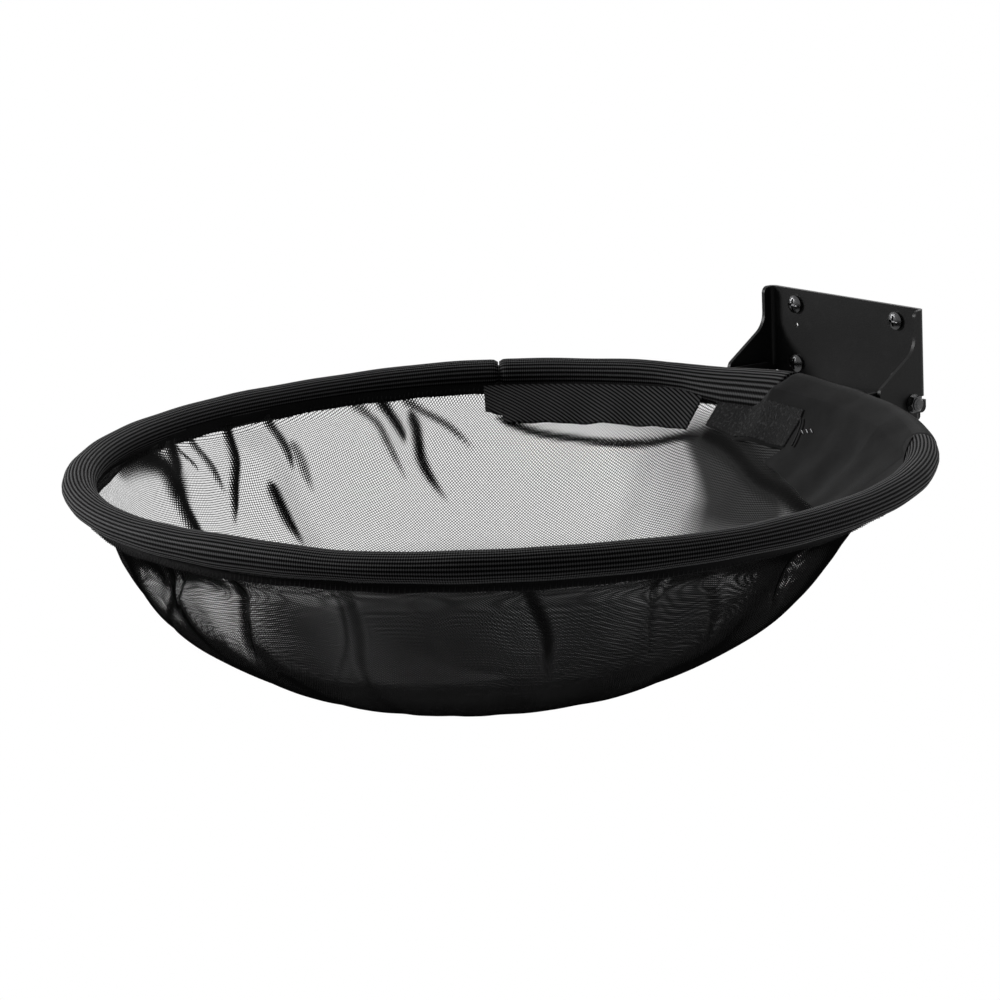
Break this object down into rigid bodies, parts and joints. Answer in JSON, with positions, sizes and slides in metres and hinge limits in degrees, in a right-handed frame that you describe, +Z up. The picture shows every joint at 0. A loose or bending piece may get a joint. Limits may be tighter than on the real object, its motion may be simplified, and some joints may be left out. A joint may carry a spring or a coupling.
{
  "type": "wall-mounted cat hammock",
  "caption": "Round see-through cat hammock: a mesh bowl hung in a padded steel ring, hinged to a wall bracket so that it folds up.",
  "frame": {"origin": "centre of the rectangle of four wall screws, on the wall's face (the bracket's back face)", "axes": "+X right as seen from the room, +Y into the wall, +Z up; the hammock reaches out along -Y"},
  "size_m": [0.435, 0.4867, 0.1531],
  "materials": {
    "bracket_steel": "black powder coat, satin",
    "ring_steel": "black powder coat, satin",
    "black_fasteners": "black zinc, glossy",
    "black_nylon": "black nylon, dull",
    "ribbed_fabric": "ribbed black knit",
    "smooth_fabric": "smooth black brushed knit",
    "mesh_fabric": "see-through black net",
    "hook_tape": "black hook tape, speckled"
  },
  "bodies": {
    "wall_side": {"wall_bracket": "bracket_steel", "wall_screw_upper_left": "black_fasteners", "wall_screw_upper_right": "black_fasteners", "wall_screw_lower_left": "black_fasteners", "wall_screw_lower_right": "black_fasteners", "pivot_bolt_left": "black_fasteners", "pivot_bolt_right": "black_fasteners", "slip_washer_left": "black_nylon", "slip_washer_right": "black_nylon", "steel_washer_left": "black_fasteners", "steel_washer_right": "black_fasteners", "lock_nut_left": "black_fasteners", "lock_nut_right": "black_fasteners"},
    "folding_ring": {"hinge_plate": "ring_steel", "ring_tube": "ring_steel", "ear_weld_left": "ring_steel", "ear_weld_right": "ring_steel", "rim_sleeve": "ribbed_fabric", "left_flap": "ribbed_fabric", "right_flap": "smooth_fabric", "closure_tape": "hook_tape", "mesh_bowl": "mesh_fabric"}
  },
  "joints": [
    {"name": "ring_fold", "type": "hinge", "parent": "wall_side", "child": "folding_ring", "pos_m": [0, -0.011, -0.024], "axis": [-1, 0, 0], "range_deg": [0, 75]}
  ]
}
